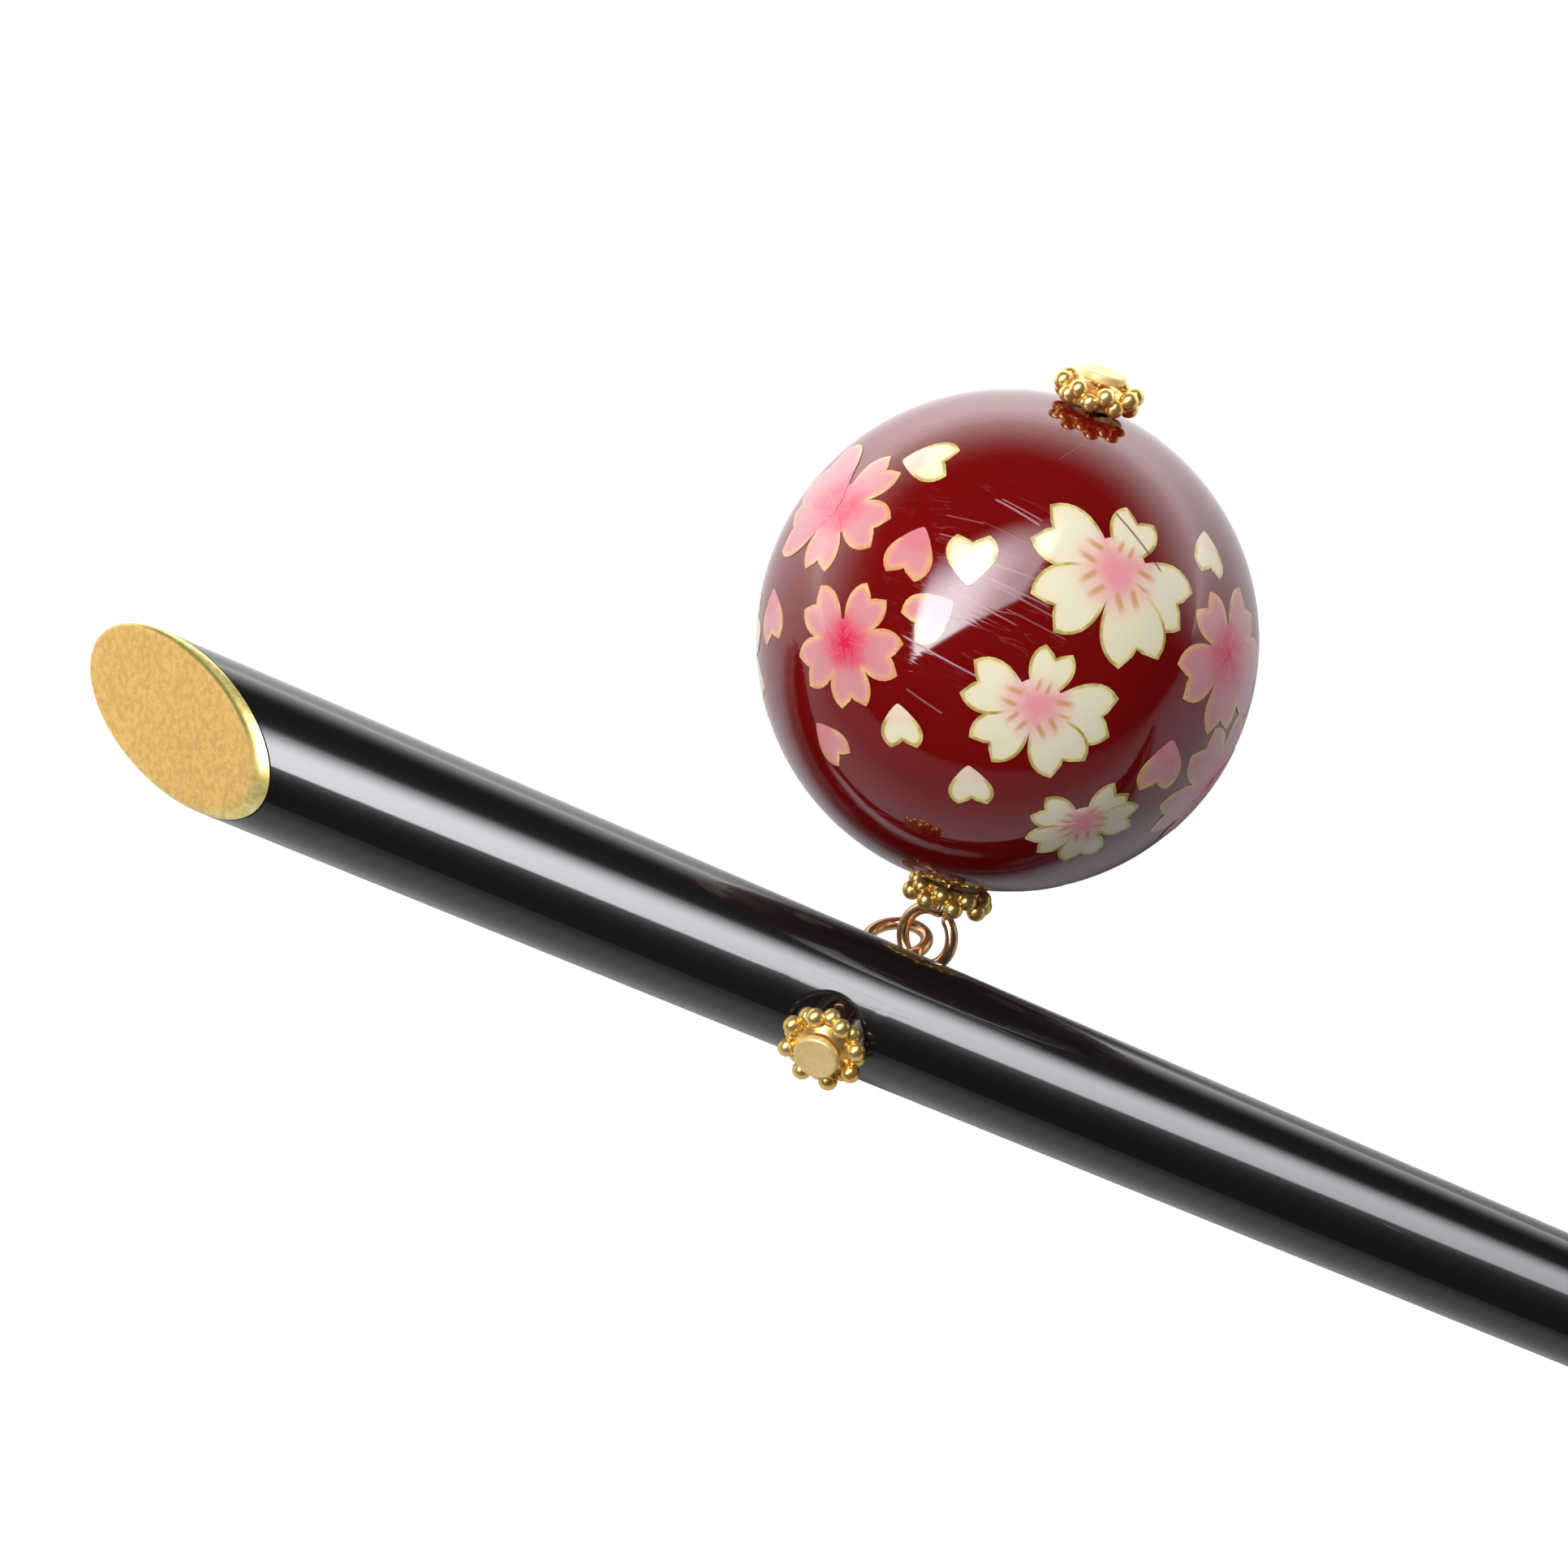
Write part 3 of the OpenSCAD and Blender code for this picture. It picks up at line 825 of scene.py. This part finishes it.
def petal_mesh():
    half = [Vector((x, y, 0)) for x, y in HALF_PETAL]
    outline = half + [Vector((-p.x, p.y, 0)) for p in reversed(half[:-1])]
    return patch_mesh("petal", outline, Vector((0, 0.5, 0)), PETAL_LIFT)


def heart_mesh():
    """The round middle that joins the petals of a blossom."""
    return patch_mesh("heart", [Vector(p) for p in circle(HEART_R, 0, 40)], Vector(), HEART_LIFT, True)


# Geometry node trees
def geo(tree, kind, inputs=None, out=0, **settings):
    return add(tree, kind, inputs, **settings).outputs[out]


def rotation(tree, angles):
    return geo(tree, "FunctionNodeEulerToRotation", {0: angles})


def make_print_tree():
    """Sets a petal or a heart at every point, and lays them onto a ball."""
    t, i, o = new_group("print on a ball", {
        "Places": "Geometry", "Petal": "Object", "Heart": "Object", "Middle": "Vector", "Radius": "Float",
        "Material": "Material"}, {"Geometry": "Geometry"}, "GeometryNodeTree")

    def named(name, kind):
        return geo(t, "GeometryNodeInputNamedAttribute", {"Name": name}, data_type=kind)

    facing = rotation(t, named("facing", "FLOAT_VECTOR"))
    both = t.nodes.new("GeometryNodeJoinGeometry")
    for key, wanted in (("Petal", 0.0), ("Heart", 1.0)):
        shape = geo(t, "GeometryNodeObjectInfo", {0: i[key]}, out="Geometry")
        chosen = geo(t, "FunctionNodeCompare", {0: named("heart", "FLOAT"), 1: wanted, 12: 0.1},
                     data_type="FLOAT", operation="EQUAL")
        copies = geo(t, "GeometryNodeInstanceOnPoints", {
            "Points": i["Places"], "Selection": chosen, "Instance": shape, "Rotation": facing,
            "Scale": named("size", "FLOAT_VECTOR")})
        put(t, both.inputs[0], copies)
    real = geo(t, "GeometryNodeRealizeInstances", {0: both.outputs[0]})
    away = vec(t, "SUBTRACT", geo(t, "GeometryNodeInputPosition"), i["Middle"])
    height = calc(t, "ADD", i["Radius"], calc(t, "ADD", named("rise", "FLOAT"), named("layer", "FLOAT")))
    laid = geo(t, "ShaderNodeVectorMath", {0: vec(t, "NORMALIZE", away), "Scale": height}, operation="SCALE")
    laid = vec(t, "ADD", laid, i["Middle"])
    moved = geo(t, "GeometryNodeSetPosition", {"Geometry": real, "Position": laid})
    put(t, o[0], geo(t, "GeometryNodeSetMaterial", {"Geometry": moved, "Material": i["Material"]}))
    return t


def grown(ob, tree, inputs):
    """Runs a geometry node tree on a piece once and keeps the plain mesh that it makes."""
    mod = ob.modifiers.new("growth", "NODES")
    mod.node_group = tree
    sockets = {s.name: s.identifier for s in tree.interface.items_tree
               if s.item_type == "SOCKET" and s.in_out == "INPUT"}
    for key, value in inputs.items():
        mod[sockets[key]] = value
    ob.update_tag()
    bpy.context.view_layer.update()
    graph = bpy.context.evaluated_depsgraph_get()
    mesh = bpy.data.meshes.new_from_object(ob.evaluated_get(graph), depsgraph=graph)
    ob.modifiers.clear()
    ob.data = mesh


def print_chart():
    """Rows of tone, turn, rise, bearing, length, whether single, whether a heart, and layer."""
    blossoms, singles = hidden_print(random.Random(11))
    chart = []
    for tone, turn, rise, petals in BLOSSOMS + blossoms:
        chart += [(tone, turn, rise, bearing, length, 0.0, 0.0, k)
                  for k, (bearing, length) in enumerate(petals)]
        chart.append((tone, turn, rise, 0.0, sum(length for _, length in petals) / 5, 0.0, 1.0, 0))
    return chart + [(*single, 1.0, 0.0, 0) for single in SINGLES + singles]


def build_print():
    verts = []
    vectors = {"facing": [], "size": []}
    floats = {"reach": [], "layer": [], "tone": [], "single": [], "heart": []}
    for tone, turn, rise, bearing, length, single, heart, layer in print_chart():
        a, b = radians(turn), radians(bearing)
        d = outward(turn, rise)
        east = Vector((-sin(a), cos(a), 0))
        way = east * cos(b) + d.cross(east) * sin(b)
        reach = PRINT_R * tan(length / PRINT_R) * MM
        verts.append((BEAD_MIDDLE + d * PRINT_R) * MM)
        vectors["facing"].append(tuple(Matrix((way.cross(d), way, d)).transposed().to_euler()))
        vectors["size"].append((reach * (SINGLE_WIDTH if single else 1.0), reach, reach))
        values = (reach, layer * LAYER_LIFT * MM, float(tone == "pink"), single, heart)
        for column, value in zip(floats.values(), values):
            column.append(value)
    ob = new_object("blossom_print", new_mesh("blossom print", verts, [], vectors, floats))
    petal, heart = petal_mesh(), heart_mesh()
    grown(ob, make_print_tree(), {"Petal": petal, "Heart": heart, "Middle": tuple(BEAD_MIDDLE * MM),
                                  "Radius": PRINT_R * MM, "Material": blossom_print})
    for helper in (petal, heart):
        bpy.data.objects.remove(helper)
    finish_piece(ob, "bead", 60, outwards=False)


def make_spacer_tree():
    """Two staggered rows of granules round a turned collar, the lower row set in."""
    t, i, o = new_group("granulated spacer", {
        "Collar": "Geometry", "Granules": "Int", "Ring radius": "Float", "Granule radius": "Float",
        "Layer step": "Float", "Set in": "Float", "Seed": "Int", "Place": "Vector", "Turn": "Vector",
        "Material": "Material"}, {"Geometry": "Geometry"}, "GeometryNodeTree")
    rows = t.nodes.new("GeometryNodeJoinGeometry")
    for layer in (0, 1):
        reach = scaled(t, i["Set in"], float(layer - 1), i["Ring radius"])
        ring = geo(t, "GeometryNodeMeshCircle", {"Vertices": i["Granules"], "Radius": reach})
        height = scaled(t, i["Layer step"], float(layer), i["Granule radius"])
        lift = geo(t, "ShaderNodeCombineXYZ", {2: height})
        turn = geo(t, "ShaderNodeCombineXYZ", {2: calc(t, "DIVIDE", pi * layer, i["Granules"])})
        twist = rotation(t, turn)
        row = geo(t, "GeometryNodeTransform", {"Geometry": ring, "Translation": lift, "Rotation": twist})
        put(t, rows.inputs[0], row)
    grain = geo(t, "GeometryNodeMeshUVSphere", {"Segments": 28, "Rings": 16, "Radius": i["Granule radius"]})
    size = geo(t, "FunctionNodeRandomValue", {2: 0.965, 3: 1.0, "Seed": i["Seed"]}, out=1, data_type="FLOAT")
    tilt = geo(t, "FunctionNodeRandomValue", {0: (0.0, 0.0, 0.0), 1: (3.0, 3.0, 3.0), "Seed": i["Seed"]},
               data_type="FLOAT_VECTOR")
    copies = geo(t, "GeometryNodeInstanceOnPoints", {
        "Points": rows.outputs[0], "Instance": grain, "Scale": size,
        "Rotation": rotation(t, tilt)})
    real = geo(t, "GeometryNodeRealizeInstances", {0: copies})
    whole = t.nodes.new("GeometryNodeJoinGeometry")
    for part in (geo(t, "GeometryNodeSetShadeSmooth", {"Geometry": real}), i["Collar"]):
        put(t, whole.inputs[0], part)
    facing = rotation(t, i["Turn"])
    placed = geo(t, "GeometryNodeTransform", {
        "Geometry": whole.outputs[0], "Translation": i["Place"], "Rotation": facing})
    put(t, o[0], geo(t, "GeometryNodeSetMaterial", {"Geometry": placed, "Material": i["Material"]}))
    return t


def collar():
    """Verts and faces of a spacer's turned collar: bore edge, wide foot, narrowing side and rounded top."""
    low, high = GRANULE_R / 4, 2 * GRANULE_R + 0.16
    bore, foot, top, edge = SPACER_HOLE_R, 0.12, 0.08, 0.06
    profile = ([(bore, low + edge), (bore + edge, low)]
               + arc(HUB_R - foot, low + foot, foot, -90, 0, 5)
               + [(HUB_R, 0.5), (HUB_R - 0.05, 0.64), (HUB_R - 0.2, 0.78), (HUB_R - 0.42, 0.9)]
               + arc(0.9, high - top, top, 40, 90, 4)
               + [(bore + edge, high), (bore, high - edge)])
    return turned_ring(profile, 64)


def build_spacers():
    tree = make_spacer_tree()
    lift = Matrix.Translation((0, 0, BEAD_SEAT))
    places = [
        ("flower_spacer_on_stick", "front_flower_spacer",
         STICK_PIN_FRAME @ Matrix.Translation((0, 0, FLOWER_SEAT))),
        ("flower_spacer_above_ball", "top_flower_spacer", DROP_FRAME @ lift),
        ("flower_spacer_below_ball", "bottom_flower_spacer",
         DROP_FRAME @ Matrix.Rotation(pi, 4, "X") @ lift),
    ]
    for seed, (name, node, place) in enumerate(places, 3):
        ob = new_piece(name, *collar(), gilt_metal)
        grown(ob, tree, {
            "Granules": GRANULES, "Ring radius": (GRANULE_RING_R - GRANULE_EXTRA) * MM,
            "Granule radius": (GRANULE_R + GRANULE_EXTRA) * MM, "Layer step": LAYER_STEP * MM,
            "Set in": LOWER_SET_IN * MM, "Seed": seed, "Place": tuple(place.to_translation() * MM),
            "Turn": tuple(place.to_euler()), "Material": gilt_metal})
        finish_piece(ob, node)


# Headed pins, each bent to an eye: steps along the wire, its smoothed corner, and the head's shallow dish
WIRE_STEP, EYE_STEPS = 0.12, 84
EASE_REACH, EASE_ROUNDS = 4, 14
HEAD_DISH = ((0.72, 0.006), (0.45, 0.022), (0.2, 0.028), (0.0, 0.03))


def eased(path, corner):
    for _ in range(EASE_ROUNDS):
        old = [p.copy() for p in path]
        for k in range(corner - EASE_REACH, corner + EASE_REACH + 1):
            path[k] = (old[k - 1] + old[k] * 2 + old[k + 1]) / 4
    return path


def build_pin(name, node, place, head_at, eye_at, eye_r, eye_turn, eye_shift):
    start = acos(eye_shift / eye_r)
    sweep = 2 * pi - (WIRE_R + EYE_MOUTH) / eye_r
    turn = Matrix.Rotation(eye_turn, 4, "Z") @ Matrix.Translation((-eye_shift, 0, 0))
    foot, top = -eye_at + eye_r * sin(start), head_at + WIRE_IN_HEAD
    corner = max(8, int((top - foot) / WIRE_STEP))
    path = [Vector((0, 0, top + (foot - top) * k / corner)) for k in range(corner)]
    for k in range(EYE_STEPS + 1):
        a = start + sweep * k / EYE_STEPS
        path.append(turn @ Vector((eye_r * cos(a), 0, -eye_at + eye_r * sin(a))))
    wire = swept_wire(eased(path, corner), WIRE_R)
    r, face = PIN_HEAD_R, head_at + PIN_HEAD_T
    head = turned([(0, head_at), (r * 0.6, head_at)]
                  + arc(r - LOWER_ROUND, head_at + LOWER_ROUND, LOWER_ROUND, -90, 0, 5)
                  + arc(r - UPPER_ROUND, face - UPPER_ROUND, UPPER_ROUND, 0, 90, 6)
                  + [(r * share, face - dip) for share, dip in HEAD_DISH], 72)
    is_wire = [0.0] * len(head[0]) + [1.0] * len(wire[0])
    ob = new_piece(name, *joined(head, wire), pin_metal, place, wire=is_wire)
    finish_piece(ob, node, 50)


build_stick()
build_gold_face()
build_ball()
build_print()
build_spacers()
build_pin("pin_through_stick", "stick_pin", STICK_PIN_FRAME, PIN_HEAD_SEAT, STICK_EYE_AT, STICK_EYE_R,
          STICK_EYE_TURN, 0.0)
build_pin("pin_through_ball", "bead_pin", DROP_FRAME, BEAD_PIN_HEAD_SEAT, BEAD_EYE_AT, BEAD_EYE_R,
          -BEAD_EYE_TURN, BEAD_EYE_SHIFT)


# Floor, softbox and surroundings, with lengths in metres. AWAY is level and leads away from the camera
AWAY = (-0.42, 0.9075, 0.0)
SOFTBOX_AT, SOFTBOX_ACROSS, SOFTBOX_ALONG = 0.6, 0.52, 1.36
SOFTBOX_LEAN, SOFTBOX_RADIANCE = radians(22.6), 11.6
CLOTH_SLANT, CLOTH_HALF = 1.35, 0.345


def build_floor():
    """Pale table with painted shade: its colour darkens in front of the object. It glows behind the object as
    painted light, where the studio's cove begins.
    """
    m, t, p, where = new_material("pale table", Roughness=0.75)
    # Painted shade: the table's colour darkens from 8 mm to 55 mm in front of the object.
    pale = ramp(t, separated(t, where)[1], -0.055, -0.008)
    put(t, p["Base Color"], mixed(t, pale, (0.17, 0.17, 0.172, 1), (0.48, 0.48, 0.484, 1)))
    # Painted light: the table itself glows behind the object, standing in for the studio's cove.
    behind = ramp(t, vec(t, "DOT_PRODUCT", where, AWAY, out=1), 0.005, 0.11)
    put(t, p["Emission Color"], (1.0, 0.99, 0.98, 1))
    put(t, p["Emission Strength"], times(t, behind, 2.0))
    glow = add(t, "ShaderNodeEmission", {"Color": (1.0, 1.0, 1.0, 1), "Strength": 1.22}).outputs[0]
    seen = add(t, "ShaderNodeLightPath").outputs["Is Camera Ray"]
    surface = find_node(t, "BSDF_PRINCIPLED").outputs[0]
    blend = add(t, "ShaderNodeMixShader", {0: times(t, seen, 0.82), 1: surface, 2: glow}).outputs[0]
    put(t, find_node(t, "OUTPUT_MATERIAL").inputs[0], blend)
    half = 1.5 / MM
    corners = [(-half, -half, 0), (half, -half, 0), (half, half, 0), (-half, half, 0)]
    ob = new_piece("table", corners, [(0, 1, 2, 3)], m)


def place_softbox(towards, up_way):
    """An area light behind a slanting cloth, dimmer towards its right end and fading at its upper edge."""
    data = bpy.data.lights.new("overhead softbox", "AREA")
    data.shape, data.size, data.size_y = "RECTANGLE", SOFTBOX_ACROSS, SOFTBOX_ALONG
    data.energy = pi * SOFTBOX_ACROSS * SOFTBOX_ALONG * SOFTBOX_RADIANCE
    data.color = (0.955, 0.955, 1.0)
    data.use_nodes = True
    t = data.node_tree
    spot = separated(t, add(t, "ShaderNodeNewGeometry").outputs["Parametric"])
    right = times(t, calc(t, "SUBTRACT", spot[0], 0.5), SOFTBOX_ACROSS)
    up = times(t, calc(t, "SUBTRACT", spot[1], 0.5), SOFTBOX_ALONG)
    up = calc(t, "SUBTRACT", up, times(t, right, CLOTH_SLANT))
    from_end = calc(t, "SUBTRACT", SOFTBOX_ACROSS / 2, calc(t, "ABSOLUTE", right))
    level = ramp(t, right, -0.05, 0.18, 1.08, 0.42)
    for share in (ramp(t, from_end, 0.0, 0.06), ramp(t, up, -CLOTH_HALF, 0.04 - CLOTH_HALF),
                  fall(t, up, -0.05, CLOTH_HALF)):
        level = times(t, level, share)
    put(t, find_node(t, "EMISSION").inputs["Strength"], level)
    ob = new_object("overhead softbox", data)
    z = towards.normalized()
    y = (up_way - z * up_way.dot(z)).normalized()
    centre = Vector((look_at.x, look_at.y, 4.0)) * MM
    turn = Matrix((y.cross(z), y, z)).transposed().to_4x4()
    ob.matrix_world = Matrix.Translation(centre + z * SOFTBOX_AT) @ turn


def light_scene():
    """The softbox where the stick mirrors it to the camera, and a studio that is bright low behind."""
    stick_way = Vector((1, 0, 0))
    across = (CAM_BACK - stick_way * CAM_BACK.dot(stick_way)).normalized()
    up_way = across.cross(stick_way)
    leaning = across * cos(SOFTBOX_LEAN) + up_way * sin(SOFTBOX_LEAN)
    place_softbox(leaning * across.dot(CAM_BACK) - stick_way * CAM_BACK.dot(stick_way), up_way)
    world = bpy.data.worlds.new("studio")
    bpy.context.scene.world = world
    world.use_nodes = True
    t = world.node_tree
    glow = find_node(t, "BACKGROUND")
    way = add(t, "ShaderNodeTexCoord").outputs["Generated"]
    far = ramp(t, vec(t, "DOT_PRODUCT", way, AWAY, out=1), -0.15, 0.5)
    low = fall(t, separated(t, way)[2], -0.12, 0.50)
    level = scaled(t, times(t, far, low), 2.1, 0.02)
    seen = add(t, "ShaderNodeLightPath").outputs["Is Camera Ray"]
    put(t, glow.inputs["Color"], (1.0, 0.99, 0.985, 1))
    put(t, glow.inputs["Strength"], calc(t, "MAXIMUM", level, seen))


build_floor()
light_scene()
bpy.context.scene.view_settings.view_transform = "Standard"
bpy.context.scene.view_settings.look = "None"
